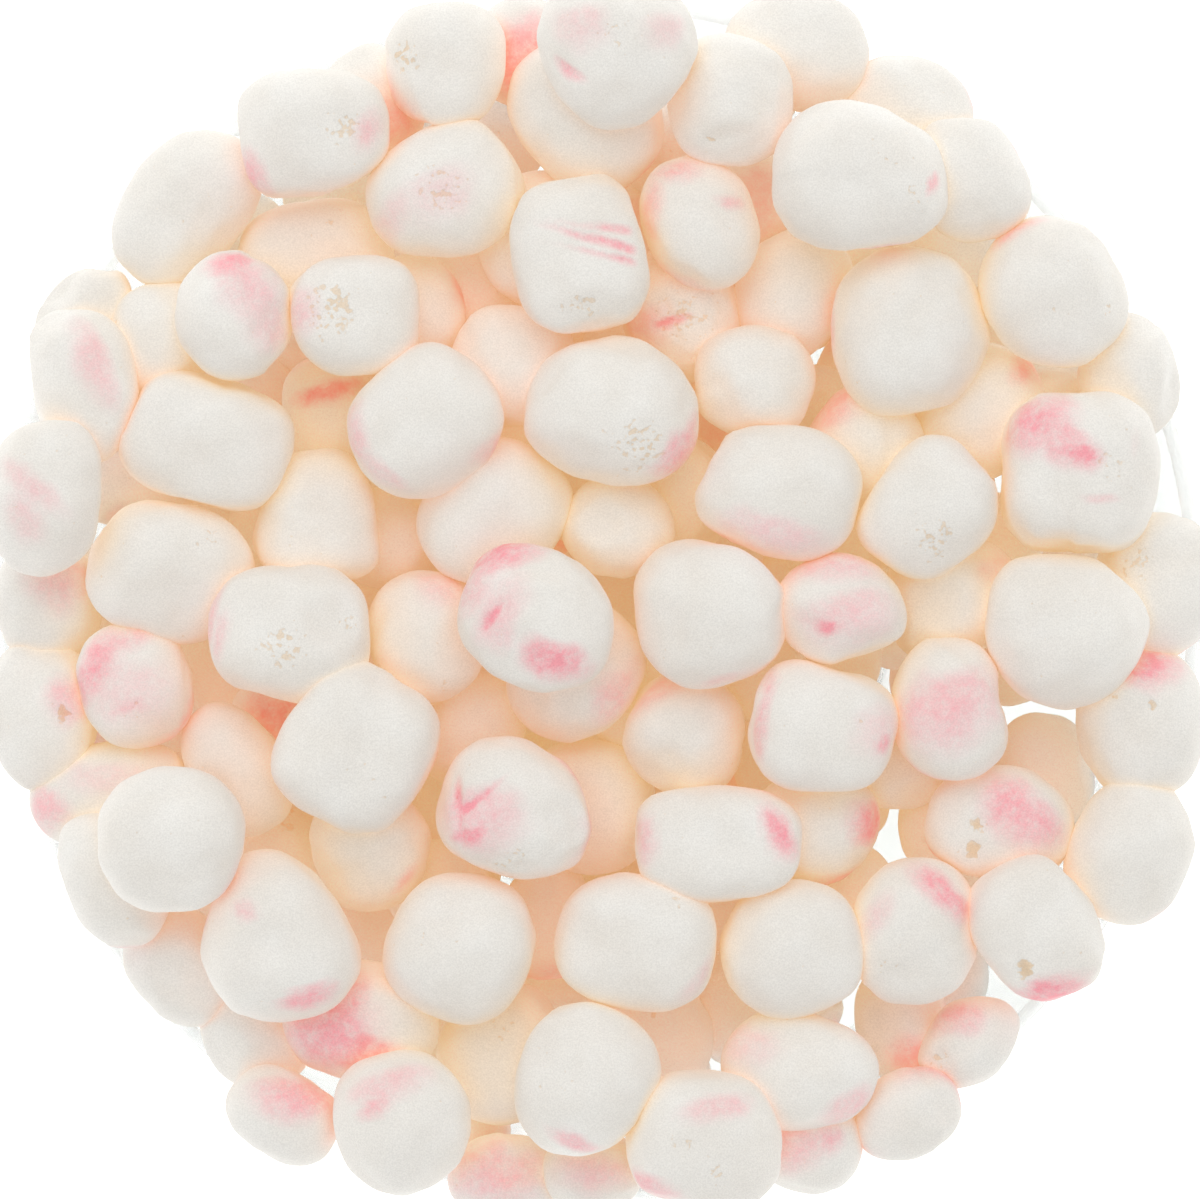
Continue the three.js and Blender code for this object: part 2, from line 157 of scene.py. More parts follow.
# Open bubbles on the surface: place x, y, breadth and strength. At a strength near 1 they are
# a cluster of small holes, and near 2 one crater.
PIT_MARKS = (
    (-41, 113.5, 7, 1.2), (-53, 99.5, 9, 1.), (-33.5, 87, 10, 1.), (-56, 61.5, 11, 1.2),
    (-78, 54, 4, .6), (8, 33.5, 11, 1.1), (70, 14, 9, 1.1), (106, 28, 7, .9), (23, 95.5, 3, 1.5),
    (18.5, 60, 12, .9), (112, 8, 9, .9), (107, 61, 3.5, .9), (67, 85, 7, .9),
    (-65.5, -9.5, 9, 1.1), (-52, -5, 4.5, 1.), (-112.8, -23.5, 3.2, 1.9), (-37, -70, 3.5, 1.),
    (-21, -90, 7, .8), (-66, -44, 8, .9), (-19, -55, 9, .7), (54, -24.5, 4, .9),
    (77.8, -52.4, 3.8, 2.2), (78.9, -46.8, 2.8, 2.), (88.5, -77, 3.8, 2.2), (16, -63, 4.5, .9),
    (11, -86.5, 3.2, 1.4), (115.5, -22, 2.6, 1.8), (107, -19, 2.6, 1.8), (72, -97, 5, 1.1),
    (17, -113, 4.5, 1.1), (60, -76, 6, .7), (-31, -18, 5, .6), (-98, -22, 5, .7), (-4, 62, 6, .9),
    (3, 118, 7, .8), (-50, -36, 6, .5), (-112, 33, 6, .5), (-82, 12, 7, .5), (40, -76, 5, .5),
    (95, 58, 6, .5), (-44, 24, 5, .4), (-10, -98, 6, .6), (24, -118, 6, .8), (58, 92, 5, .5),
    (-56, 80, 4, .8), (101, -2, 7, .5), (44, -32, 5, .5),
)
# Puffs that are not simply round: their place x, y, the power of the superellipsoid (2 is
# round, more is boxier), how much narrower one end is, and the bearing of that end.
SHAPES = (
    (-97, -17.5, 2.5, 0, 0), (-89.5, 6, 2.2, .12, -10), (-60.5, 97.5, 2.4, .12, 250),
    (-32.5, 112, 2.5, .1, 270), (3.8, 114, 2.2, .16, 270), (-4.5, 72, 2.9, .06, 100),
    (54.3, 87.6, 2.2, .16, -15), (-82.5, 33, 3.0, .06, 200), (46.5, -26.7, 2.7, .1, 5),
    (36.6, 22.6, 2.1, .12, 190), (-65, -6.8, 2.5, .08, 180), (-50.8, -31, 2.9, 0, 0),
    (99.8, 26.3, 3.0, .05, 260), (-17.5, -44.5, 2.4, .17, -30), (24.3, -51, 2.8, 0, 0),
    (-67.7, -70, 2.2, .2, 100), (92, -69.5, 2.7, .12, -40), (-59.5, 18, 3.0, .2, 90),
    (-76.5, -35.5, 2.3, .1, 120), (21.8, -113, 2.4, .05, 90), (93.5, -37, 2.4, 0, 0),
    (-60, 71, 2.8, 0, 0), (68, 19, 2.4, .1, 200), (7.7, -71.7, 2.4, 0, 0),
    (83.5, -47.5, 2.4, .1, 200),
)
# Small puffs deeper down, that close the view between the ones above, in rows as above.
FILL_PUFFS = (
    (-73, 44, 20, 18, 0), (43, -86, 18, 16, 0), (50, -13, 24, 20, 90), (-86, 20, 20, 17, 0),
    (-47, -71, 24, 20, 90), (-12, -83, 22, 18, 0), (-29, -111, 20, 17, 0), (53, 71, 22, 18, 0),
    (-104, -29, 18, 16, 0), (7, 87, 20, 18, 90), (-58, 86, 20, 16, 0), (46, 42, 22, 17, 0),
    (22, 60, 22, 18, 0), (-45, 36, 20, 18, 0), (95, 15, 18, 16, 90), (-84, -66, 20, 18, 0),
    (-62, 54, 18, 16, 0), (-76, 78, 18, 16, 0), (20, -84, 20, 18, 0), (88, -14.5, 18, 16, 0),
    (-88, -28, 16, 14, 0),
)
# Places where the floor or the glass shows between the puffs: x, y, breadth.
GLIMPSES = (
    (118.5, 26.6, 12), (91.3, 80.7, 7), (58.8, -50.3, 7), (-57.1, -102.6, 5), (53.3, -84.1, 6),
    (25, 120.3, 6), (106, -38.4, 5), (88.3, -24.7, 6), (-98.1, 66.6, 6), (-67.5, 84.9, 5),
    (-106.9, 12.6, 5), (40.4, 102, 5), (104.2, 50.1, 5), (84, -84.5, 5), (58.1, -100.3, 5),
    (25.4, -92.2, 4), (81.5, 13.6, 4), (-16.7, -112.2, 5), (46.7, 50.5, 6), (59.4, -15.7, 6),
    (-16.7, -59.5, 5),
)

# ---------------------------------------------------------------- the looks' sizes
TOP_CUTS = 15             # cuts across each side of the cube that a puff is blown up from
MIDDLE_CUTS = 15
CREASED_CUTS = 31         # the same for a puff that has creases
LOW_CUTS = 13
BURIED_CUTS = 8
ROUND_POWERS = (2.02, 2.35)  # power of the superellipsoid where SHAPES gives none
TAPER = (0, 0.1)          # how much narrower one end is, where SHAPES gives nothing
TILTS = (0.12, 0.1)       # greatest tilts about a puff's length and its width, in radians
NOISE_RANGE = 500.0       # each puff reads its lumps from another place, up to this far away
LUMP_LENGTH = 14.0        # size of a puff's lumps, and how far they stand out
LUMP_HEIGHT = 1.4
DIMPLE_LENGTH = 5.0       # the same for its dimples
DIMPLE_HEIGHT = 0.42
PRESSES = 4               # flat places where a puff was pressed against others
PRESS_REACH = (0.75, 0.9)  # cosine of half the angle that such a place takes in
PRESS_DEPTH = (0.3, 1.3)
FOLD_SHARE = 0.45         # share of the puffs that show where the taffy was folded over
FOLD_PLACE = (0.25, 0.75)  # how far out the fold lies, in half-widths
FOLD_HEIGHT = 0.6         # its step, how soft that is, and how far its line wanders
FOLD_SOFT = 0.8
FOLD_WAVE = 2.5
PIT_DEPTH = 0.6           # how far the skin sinks where bubbles have opened
PIT_EVEN = 0.5            # share of that depth that is even; the rest is rough
PIT_LENGTH = 1.7
CREASE_WIDTH = 2.3        # a pink mark no wider than this is a crease in the skin
CREASE_DEPTH = 0.5

SWIRL = 2.0               # how far the edge of a mark wanders, and over what length
SWIRL_LENGTH = 6.0
SWIRL_WIDTH = 8.0         # a mark narrower than this wanders less
MARK_SPREAD = 1.15        # how far a mark's colour spreads past the size in the table
MARK_FADE = (0.3, 1.5)    # where a mark starts to fade and where it ends, in half-sizes
SHARP_SIDE = 1.35         # a mark ends sooner on one side, and fades on the other
BLURRED_SIDE = 0.8
SKIN_POWER = 2.4          # how full the top of a puff is, where a mark is laid on it
HIDDEN_COUNTS = (0, 1, 1, 2)  # pink marks on a puff where the photograph shows none
HIDDEN_RISE = 0.9         # how near the top or the bottom they lie, as a share of its height
UNDERSIDE = -0.1          # and how high at most, where only the underside is hidden
HIDDEN_LENGTH = (8, 20)
HIDDEN_WIDTH = (3, 9)
HIDDEN_STRENGTH = (0.4, 1.0)

GLOW_REACH = 60.0         # how far a ray looks for other puffs
GLOW_START = 0.3          # how far off the skin it starts
GLOW_RAYS = 16
GLOW_BLUR = 2

FILL_HEIGHT = 47.0        # height of the middles of FILL_PUFFS, or on the glass if that is higher
BURIED_PITCH = 25.0       # middle to middle of the buried puffs
BURIED_LENGTH = (25.0, 31.0)
BURIED_WIDTH = (22.0, 26.0)
BURIED_SWAY = 0.03        # how far a buried puff strays along its ring, in radians
BURIED_TURN = 25          # how far it turns from it, in degrees
BURIED_RISE = 1.5         # and how far it strays from the ring's height
BURIED_RINGS = (          # height of each ring of buried puffs, and its radius
    (19.0, 76.0), (19.0, 51.0), (19.0, 26.0), (19.0, 0.0),
    (31.0, 63.0), (31.0, 38.0), (31.0, 13.0),
    (42.0, 101.0), (42.0, 76.0), (42.0, 51.0), (42.0, 26.0), (42.0, 0.0),
)


def linear(hex_colour):
    """A colour given as sRGB hex, as the linear values that a shader takes."""
    parts = [int(hex_colour[place:place + 2], 16) / 255 for place in (1, 3, 5)]
    return tuple(p / 12.92 if p <= 0.04045 else ((p + 0.055) / 1.055) ** 2.4 for p in parts) + (1,)


def new_object(name, bm, smooth=True):
    """A mesh object at the origin, from a bmesh in millimetres."""
    bmesh.ops.scale(bm, vec=(MM, MM, MM), verts=bm.verts)
    mesh = bpy.data.meshes.new(name)
    bm.to_mesh(mesh)
    bm.free()
    mesh.polygons.foreach_set("use_smooth", [smooth] * len(mesh.polygons))
    made = bpy.data.objects.new(name, mesh)
    bpy.context.scene.collection.objects.link(made)
    return made


# ---------------------------------------------------------------- the glass bowl
WALL_REACH = (RIM_INSIDE - FLOOR_RADIUS) / math.sin(SWEEP)
WALL_RISE = (RIM_HEIGHT - FLOOR_TOP) / (1 - math.cos(SWEEP))


def wall_point(share, outward):
    """A point of the wall's inside, a share of the way up, moved out through the glass."""
    angle = share * SWEEP
    across, up = WALL_REACH * math.cos(angle), WALL_RISE * math.sin(angle)
    along = math.hypot(across, up)
    radius = FLOOR_RADIUS + WALL_REACH * math.sin(angle) + outward * up / along
    height = FLOOR_TOP + WALL_RISE * (1 - math.cos(angle)) - outward * across / along
    return Vector((radius, 0, height))


def arc(middle, radius, start, end, steps):
    """Points along an arc in the section's plane, from one angle to another."""
    angles = (start + (end - start) * step / steps for step in range(steps + 1))
    return [middle + radius * Vector((math.cos(a), 0, math.sin(a))) for a in angles]


def bowl_section():
    """The bowl's section, from under the base, over the lip, to the middle of its floor."""
    foot_middle = Vector((FOOT_RADIUS - FOOT_EDGE, 0, FOOT_EDGE))
    points = [Vector((0, 0, 0))]
    points += arc(foot_middle, FOOT_EDGE, -math.pi / 2, 0, EDGE_STEPS)
    points.append(Vector((FOOT_RADIUS, 0, FOOT_HEIGHT)))
    outside = [wall_point(step / WALL_STEPS, WALL) for step in range(WALL_STEPS + 1)]
    points += [point for point in outside if point.x > FOOT_RADIUS]
    lip_middle = (wall_point(1, 0) + wall_point(1, WALL)) / 2
    start = math.atan2(outside[-1].z - lip_middle.z, outside[-1].x - lip_middle.x)
    points += arc(lip_middle, WALL / 2, start, start + math.pi, LIP_STEPS)[1:-1]
    points += [wall_point(step / WALL_STEPS, 0) for step in range(WALL_STEPS, -1, -1)]
    points.append(Vector((0, 0, FLOOR_TOP)))
    return points


def make_bowl():
    """The bowl as one closed shell of real thickness, its section spun round."""
    bm = bmesh.new()
    section = [bm.verts.new(point) for point in bowl_section()]
    edges = [bm.edges.new(pair) for pair in zip(section, section[1:])]
    bmesh.ops.spin(bm, geom=section + edges, cent=(0, 0, 0), axis=(0, 0, 1),
                   angle=math.tau, steps=ROUND_STEPS, use_merge=True)
    bmesh.ops.remove_doubles(bm, verts=bm.verts, dist=MERGE)
    bmesh.ops.recalc_face_normals(bm, faces=bm.faces)
    return new_object("glass_bowl", bm)


# ---------------------------------------------------------------- where the puffs lie
def glass_height(radius):
    """Height of the glass under a place at this radius; outside the rim there is none."""
    if radius <= FLOOR_RADIUS:
        return FLOOR_TOP
    if radius > RIM_INSIDE + WALL:
        return -math.inf
    if radius >= RIM_INSIDE:
        return RIM_HEIGHT + WALL / 2
    share = (radius - FLOOR_RADIUS) / WALL_REACH
    return FLOOR_TOP + WALL_RISE * (1 - math.sqrt(1 - share * share))


def heap_height(radius):
    """Height of the top puffs' middles at this radius, where nothing pushes them away."""
    return CROWN - FALL * radius * radius


class Puff:
    """One sweet: its place, size and turn, and what makes its shape its own."""

    def __init__(self, row, layer, draw):
        self.x, self.y, self.length, self.width, turn = row
        self.turn = math.radians(turn)
        self.layer = layer
        self.rise = PLUMP * self.width / 2
        self.radius = math.hypot(self.x, self.y)
        self.lowest = self.resting_height()
        self.z = self.lowest
        self.seed = Vector([draw.uniform(-NOISE_RANGE, NOISE_RANGE) for _ in range(3)])
        self.power = draw.uniform(*ROUND_POWERS)
        self.narrow = draw.uniform(*TAPER)
        narrow_at = draw.uniform(0, math.tau)
        for x, y, power, narrow, bearing in SHAPES:
            if (x, y) == (self.x, self.y):
                self.power, self.narrow, narrow_at = power, narrow, math.radians(bearing)
        self.narrow_end = Vector((math.cos(narrow_at - self.turn),
                                  math.sin(narrow_at - self.turn), 0))
        self.tilt = [draw.uniform(-most, most) for most in TILTS]
        self.presses = [(Vector([draw.gauss(0, 1) for _ in range(3)]).normalized(),
                         draw.uniform(*PRESS_REACH), draw.uniform(*PRESS_DEPTH))
                        for _ in range(PRESSES)]
        self.fold = Vector([draw.gauss(0, 1) for _ in range(3)]).normalized()
        self.fold_at = draw.uniform(*FOLD_PLACE)
        self.folded = draw.random() < FOLD_SHARE
        self.marks = []
        self.pits = []

    def half_width(self, dx, dy):
        """Half of the puff's width seen from above, in the direction of dx, dy."""
        bearing = math.atan2(dy, dx) - self.turn
        along, aside = math.cos(bearing), math.sin(bearing)
        across = math.hypot(self.width / 2 * along, self.length / 2 * aside)
        return self.length * self.width / 4 / across

    def resting_height(self):
        """The lowest that the puff's middle can lie before it meets the glass."""
        reach = self.half_width(self.x, self.y)
        lowest = -math.inf
        for sample in range(-TOUCH_SAMPLES, TOUCH_SAMPLES + 1):
            share = sample / TOUCH_SAMPLES
            under = self.rise * math.sqrt(1 - share * share)
            lowest = max(lowest, glass_height(abs(self.radius + share * reach)) + under)
        return lowest

    def place(self):
        """The turn, tilt and move that take the puff from its own middle to the heap."""
        tilted = Matrix.Rotation(self.tilt[0], 4, "X") @ Matrix.Rotation(self.tilt[1], 4, "Y")
        moved = Matrix.Translation((self.x, self.y, self.z))
        return moved @ Matrix.Rotation(self.turn, 4, "Z") @ tilted


def crossings(puffs):
    """Pairs that lie over one another, with the height between their middles."""
    pairs = []
    for index, upper in enumerate(puffs):
        for lower in puffs[:index]:
            dx, dy = upper.x - lower.x, upper.y - lower.y
            room = PRESS * (lower.half_width(dx, dy) + upper.half_width(dx, dy))
            share = math.hypot(dx, dy) / room
            if share < 1:
                between = PRESS * (lower.rise + upper.rise) * math.sqrt(1 - share * share)
                pairs.append((lower, upper, between))
    return pairs


def settle(puffs):
    """Puffs that lie too close are pushed apart until the heap is at rest."""
    goals = [heap_height(puff.radius) - LAYER_DEPTHS[puff.layer] for puff in puffs]
    for puff, goal in zip(puffs, goals):
        puff.z = max(goal, puff.lowest)
    pairs = crossings(puffs)
    for _ in range(ROUNDS):
        for puff, goal in zip(puffs, goals):
            puff.z = max(puff.lowest, puff.z + PULL * (goal - puff.z))
        for lower, upper, between in pairs:
            short = between - (upper.z - lower.z)
            if short > 0:
                lower.z = max(lower.lowest, lower.z - short / 2)
                upper.z += short / 2


def shown_puffs(draw):
    """The puffs that show from above, settled on each other and on the glass."""
    layers = (LOW_PUFFS, MIDDLE_PUFFS, TOP_PUFFS)
    puffs = [Puff(row, layer, draw) for layer, rows in enumerate(layers) for row in rows]
    settle(puffs)
    return puffs


def covers_glimpse(x, y, reach):
    """Whether a puff that reaches this far would close one of the gaps in GLIMPSES."""
    return any(math.hypot(x - gx, y - gy) < reach + size / 2 for gx, gy, size in GLIMPSES)


def buried_puffs(draw):
    """Puffs under the ones that show: rings of them line the glass down to its floor."""
    puffs = [Puff(row, 0, draw) for row in FILL_PUFFS]
    for puff in puffs:
        puff.z = max(FILL_HEIGHT, puff.lowest)
    for height, radius in BURIED_RINGS:
        count = max(1, int(math.tau * radius / BURIED_PITCH))
        first = draw.uniform(0, math.tau)
        for step in range(count):
            angle = first + math.tau * step / count + draw.uniform(-BURIED_SWAY, BURIED_SWAY)
            length, width = draw.uniform(*BURIED_LENGTH), draw.uniform(*BURIED_WIDTH)
            turn = math.degrees(angle) + 90 + draw.uniform(-BURIED_TURN, BURIED_TURN)
            x, y = radius * math.cos(angle), radius * math.sin(angle)
            puff = Puff((x, y, length, width, turn), 0, draw)
            puff.z = max(height + draw.uniform(-BURIED_RISE, BURIED_RISE), puff.lowest)
            if not covers_glimpse(x, y, width / 2):
                puffs.append(puff)
    return puffs


# ---------------------------------------------------------------- a puff's shape
def blown_cube(cuts):
    """A ball of even faces: a cube cut into squares, whose corners are blown out."""
    bm = bmesh.new()
    bmesh.ops.create_cube(bm, size=2)
    bmesh.ops.subdivide_edges(bm, edges=bm.edges, cuts=cuts, use_grid_fill=True)
    for vert in bm.verts:
        vert.co = Vector([math.tan(c * math.pi / 4) for c in vert.co]).normalized()
    mesh = bpy.data.meshes.new("ball")
    bm.to_mesh(mesh)
    bm.free()
    return mesh


def smooth_step(low, high, value):
    """0 up to low, 1 from high on, and an even curve between the two."""
    share = min(1.0, max(0.0, (value - low) / (high - low)))
    return share * share * (3 - 2 * share)


def puff_shape(puff, direction):
    """Where the puff's skin lies in a direction from its middle, in millimetres."""
    powers = sum(abs(c) ** puff.power for c in direction)
    point = direction * powers ** (-1 / puff.power)
    along = point.dot(puff.narrow_end)
    beside = point - along * puff.narrow_end
    point = along * puff.narrow_end + beside * (1 - puff.narrow * along)
    point = Vector((point.x * puff.length / 2, point.y * puff.width / 2, point.z * puff.rise))
    lump = noise.noise(point / LUMP_LENGTH + puff.seed)
    dimple = noise.noise(point / DIMPLE_LENGTH + puff.seed)
    out = LUMP_HEIGHT * lump + DIMPLE_HEIGHT * dimple
    for press, reach, depth in puff.presses:
        out -= depth * smooth_step(reach, 1, direction.dot(press))
    if puff.folded:
        wave = FOLD_WAVE * noise.noise(point / LUMP_LENGTH - puff.seed)
        across = point.dot(puff.fold) + wave - puff.fold_at * puff.width / 2
        out -= FOLD_HEIGHT * smooth_step(-FOLD_SOFT, FOLD_SOFT, across)
    return point + direction * out


Mark = namedtuple("Mark", "centre along aside length width strength")


def mark_strength(point, swirl, mark):
    """How strongly a mark colours a point: one at its middle, fading past its edge."""
    offset = point + swirl * min(1.0, mark.width / SWIRL_WIDTH) - mark.centre
    lengthwise, crosswise = offset.dot(mark.along), offset.dot(mark.aside)
    up = offset - mark.along * lengthwise - mark.aside * crosswise
    across = 2 * crosswise / mark.width
    across *= SHARP_SIDE if across > 0 else BLURRED_SIDE
    distance = math.hypot(2 * lengthwise / mark.length, across, up.length / mark.width)
    distance /= MARK_SPREAD
    return mark.strength * (1 - smooth_step(*MARK_FADE, distance))


def strongest(point, swirl, marks):
    """How strongly the strongest of the marks colours a point."""
    return max((mark_strength(point, swirl, mark) for mark in marks), default=0)


def skin_height(puff, x, y):
    """Height of the puff's top at a place in plan, without its lumps."""
    dx, dy = x - puff.x, y - puff.y
    share = math.hypot(dx, dy) / puff.half_width(dx, dy)
    return puff.z + puff.rise * math.sqrt(max(0.0, 1 - share ** SKIN_POWER))


def topmost(puffs, x, y):
    """The puff that shows from above at a place, or the nearest one."""
    def beyond(puff):
        dx, dy = x - puff.x, y - puff.y
        return math.hypot(dx, dy) / puff.half_width(dx, dy)
    under = [puff for puff in puffs if beyond(puff) < 1]
    if under:
        return max(under, key=lambda puff: skin_height(puff, x, y))
    return min(puffs, key=beyond)


def give_marks(puffs):
    """Each mark that shows goes to the puff under it."""
    for x, y, length, width, turn, strength in PINK_MARKS:
        puff = topmost(puffs, x, y)
        angle = math.radians(turn)
        along = Vector((math.cos(angle), math.sin(angle), 0))
        aside = Vector((-math.sin(angle), math.cos(angle), 0))
        centre = Vector((x, y, skin_height(puff, x, y)))
        puff.marks.append(Mark(centre, along, aside, length, width, strength))
    for x, y, breadth, strength in PIT_MARKS:
        puff = topmost(puffs, x, y)
        centre = Vector((x, y, skin_height(puff, x, y)))
        axes = (Vector((1, 0, 0)), Vector((0, 1, 0)))
        puff.pits.append(Mark(centre, *axes, breadth, breadth, strength))


def give_hidden_marks(puffs, draw, lowest_only):
    """Random pink marks for what the view from above doesn't show."""
    highest = UNDERSIDE if lowest_only else HIDDEN_RISE
    for puff in puffs:
        for _ in range(draw.choice(HIDDEN_COUNTS)):
            angle = draw.uniform(0, math.tau)
            rise = draw.uniform(-HIDDEN_RISE, highest)
            flat = math.sqrt(1 - rise * rise)
            direction = Vector((flat * math.cos(angle), flat * math.sin(angle), rise))
            centre = puff.place() @ puff_shape(puff, direction)
            along = direction.cross(Vector((draw.gauss(0, 1), draw.gauss(0, 1), 1))).normalized()
            aside = direction.cross(along).normalized()
            size = draw.uniform(*HIDDEN_LENGTH), draw.uniform(*HIDDEN_WIDTH)
            strength = draw.uniform(*HIDDEN_STRENGTH)
            puff.marks.append(Mark(centre, along, aside, *size, strength))


def make_puffs(name, puffs, cuts):
    """All puffs of one layer as one mesh, with pink and pits kept at each point."""
    plain_ball, fine_ball = blown_cube(cuts), blown_cube(CREASED_CUTS)
    bm = bmesh.new()
    pink = bm.verts.layers.float.new("pink")
    pits = bm.verts.layers.float.new("pits")
    for puff in puffs:
        creases = [mark for mark in puff.marks if mark.width <= CREASE_WIDTH]
        start = len(bm.verts)
        bm.from_mesh(fine_ball if creases else plain_ball)
        bm.verts.ensure_lookup_table()
        place = puff.place()
        for vert in bm.verts[start:]:
            point = place @ puff_shape(puff, vert.co.copy())
            swirl = SWIRL * noise.noise_vector(point / SWIRL_LENGTH + puff.seed)
            vert[pink] = strongest(point, swirl, puff.marks)
            vert[pits] = strongest(point, swirl, puff.pits)
            rough = noise.noise(point / PIT_LENGTH + puff.seed)
            sunk = PIT_DEPTH * vert[pits] * (PIT_EVEN + rough)
            sunk += CREASE_DEPTH * strongest(point, swirl, creases)
            vert.co = point - (point - place.translation).normalized() * sunk
    bpy.data.meshes.remove(plain_ball)
    bpy.data.meshes.remove(fine_ball)
    return new_object(name, bm)


# ---------------------------------------------------------------- light between the puffs
def ray_directions(count):
    """Directions spread evenly over the upper half of a ball, more of them upright."""
    golden = math.pi * (3 - math.sqrt(5))
    directions = []
    for index in range(count):
        flat = math.sqrt((index + 0.5) / count)
        angle = golden * index
        directions.append(Vector((flat * math.cos(angle), flat * math.sin(angle),
                                  math.sqrt(1 - flat * flat))))
    return directions


def blurred(mesh, values, rounds):
    """The values at a mesh's points, each averaged with its neighbours' a few times."""
    ends = [tuple(edge.vertices) for edge in mesh.edges]
    for _ in range(rounds):
        totals = [2 * value for value in values]
        counts = [2] * len(values)
        for a, b in ends:
            totals[a] += values[b]
            totals[b] += values[a]
            counts[a] += 1
            counts[b] += 1
        values = [total / count for total, count in zip(totals, counts)]
    return values


def keep_openness(pieces):
    """Keeps at each point how much open space it looks out on, from 0 to 1."""
    joined = bmesh.new()
    for piece in pieces:
        joined.from_mesh(piece.data)
    tree = BVHTree.FromBMesh(joined)
    joined.free()
    directions = ray_directions(GLOW_RAYS)
    up = Vector((0, 0, 1))
    for piece in pieces:
        mesh = piece.data
        open_share = []
        for vert in mesh.vertices:
            turn = up.rotation_difference(vert.normal).to_matrix()
            start = vert.co + vert.normal * GLOW_START * MM
            clear = sum(tree.ray_cast(start, turn @ direction, GLOW_REACH * MM)[0] is None
                        for direction in directions)
            open_share.append(clear / GLOW_RAYS)
        layer = mesh.attributes.new("open", "FLOAT", "POINT")
        layer.data.foreach_set("value", blurred(mesh, open_share, GLOW_BLUR))


# ---------------------------------------------------------------- materials
def add(tree, kind, settings=None, inputs=None):
    """Adds a shader node with its settings, and gives its inputs a value or a link."""
    made = tree.nodes.new("ShaderNode" + kind)
    for name, value in (settings or {}).items():
        setattr(made, name, value)
    for name, value in (inputs or {}).items():
        if isinstance(value, bpy.types.NodeSocket):
            tree.links.new(value, made.inputs[name])
        else:
            made.inputs[name].default_value = value
    return made


def new_material(name):
    """A material with no nodes yet, and its node tree."""
    material = bpy.data.materials.new(name)
    material.use_nodes = True
    tree = material.node_tree
    tree.nodes.clear()
    return material, tree


def finish_material(tree, shader):
    """Gives the material's surface its shader."""
    add(tree, "OutputMaterial", inputs={"Surface": shader})


GLASS_ALPHA = 0.6         # the rest of the light goes straight through, as in thin glass


def pressed_glass():
    """Soda-lime glass, pressed and fire-polished: clear, with a faint cool tint."""
    material, tree = new_material("soda_lime_glass")
    shader = add(tree, "BsdfPrincipled", inputs={
        "Base Color": linear("#E3EBEB"), "Roughness": 0.0, "IOR": 1.5,
        "Transmission Weight": 1.0, "Alpha": GLASS_ALPHA})
    finish_material(tree, shader.outputs[0])
    return material


# Sizes of the patterns in the puffs' skin, in millimetres.
CLOUD_SIZE = 12.0         # soft clouds of tone, so that no puff is one flat tone
REGION_SIZE = 45.0        # parts of the heap where the painted light of the crowded places is creamy or rosy
STREAK_SIZE = 3.0         # streaks and mottling in the pink
BUBBLE_SIZE = 1.4         # open bubbles
GRAIN_SIZE = 0.35         # sugar grains: finer ones would not show
GRAIN_HEIGHT = 0.12       # how far they stand out
# Painted glow, emitted where puffs crowd, that stands in for light through the foam: linear red,
# green and blue by how open a place is.
PAINTED_GLOW_STOPS = (
    (0.0, (0.148, 0.096, 0.045)), (0.35, (0.069, 0.042, 0.016)),
    (0.7, (0.018, 0.009, 0.004)), (1.0, (0.0, 0.0, 0.0)),
)


def skin_colour(tree, coords, crevice_light_mask):
    """Chalky white with soft clouds, and a painted cream to rosy tint where the puffs crowd together,
    for light bounced between them.
    """
    clouds = add(tree, "TexNoise", inputs={
        "Vector": coords, "Scale": 1 / (CLOUD_SIZE * MM), "Detail": 2.0}).outputs["Fac"]
    cloudy = add(tree, "MapRange", inputs={
        "Value": clouds, "From Min": 0.3, "From Max": 0.7}).outputs["Result"]
    open_skin = add(tree, "MixRGB", inputs={
        "Fac": cloudy, "Color1": linear("#ECE8E1"), "Color2": linear("#F1EFEA")})
    regions = add(tree, "TexNoise", inputs={
        "Vector": coords, "Scale": 1 / (REGION_SIZE * MM), "Detail": 0.0}).outputs["Fac"]
    rosy = add(tree, "MapRange", inputs={
        "Value": regions, "From Min": 0.4, "From Max": 0.62}).outputs["Result"]
    # Painted warm light for the crowded places, in place of light bounced between puffs.
    painted_crevice_skin = add(tree, "MixRGB", inputs={
        "Fac": rosy, "Color1": linear("#F6EDE0"), "Color2": linear("#F7E7E1")})
    skin = add(tree, "MixRGB", inputs={
        "Fac": crevice_light_mask, "Color1": open_skin.outputs["Color"],
        "Color2": painted_crevice_skin.outputs["Color"]})
    return skin.outputs["Color"]


def ribbon_strength(tree, coords, pink):
    """How pink a place is: a soft wash, mottled finely, that gathers into a few streaks."""
    streaks = add(tree, "TexNoise", inputs={
        "Vector": coords, "Scale": 1 / (STREAK_SIZE * MM), "Detail": 4.0,
        "Roughness": 0.75}).outputs["Fac"]
    mottling = add(tree, "MapRange", inputs={
        "Value": streaks, "From Min": 0.35, "From Max": 0.62, "To Min": 0.4, "To Max": 0.85})
    wash = add(tree, "Math", {"operation": "MULTIPLY"}, {
        0: mottling.outputs["Result"], 1: pink}).outputs[0]
    torn = add(tree, "Math", {"operation": "MULTIPLY_ADD"}, {
        0: streaks, 1: 2.0, 2: pink}).outputs[0]
    core = add(tree, "MapRange", {"interpolation_type": "SMOOTHSTEP"}, {
        "Value": torn, "From Min": 1.55, "From Max": 2.35, "To Max": 0.85}).outputs["Result"]
    return add(tree, "Math", {"operation": "MAXIMUM"}, {0: core, 1: wash}).outputs[0]


